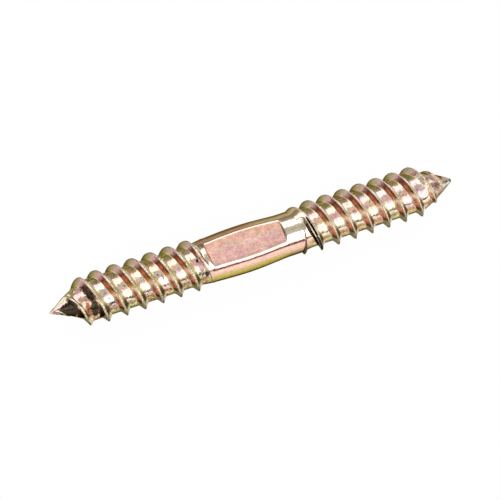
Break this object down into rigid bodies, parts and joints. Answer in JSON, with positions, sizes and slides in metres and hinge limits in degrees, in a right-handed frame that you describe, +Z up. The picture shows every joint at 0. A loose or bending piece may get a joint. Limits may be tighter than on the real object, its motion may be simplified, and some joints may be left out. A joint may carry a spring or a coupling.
{
  "type": "dowel screw",
  "caption": "Double-ended wood-to-wood dowel screw: plain flatted shank between two coarse right-hand threads, each running out on to a sharp point.",
  "frame": {"origin": "on the screw's axis at the middle of its overall length", "axes": "+X along the screw's axis towards the end with the longer thread, +Z square out of one pressed wrench flat, +Y to the left seen along +X with +Z up"},
  "size_m": [0.08, 0.0096, 0.0096],
  "materials": {
    "yellow_zinc": "zinc plated steel with iridescent yellow chromate, gold with pink and green patches, semi-bright"
  },
  "bodies": {
    "root": {"dowel_screw": "yellow_zinc"}
  },
  "joints": []
}
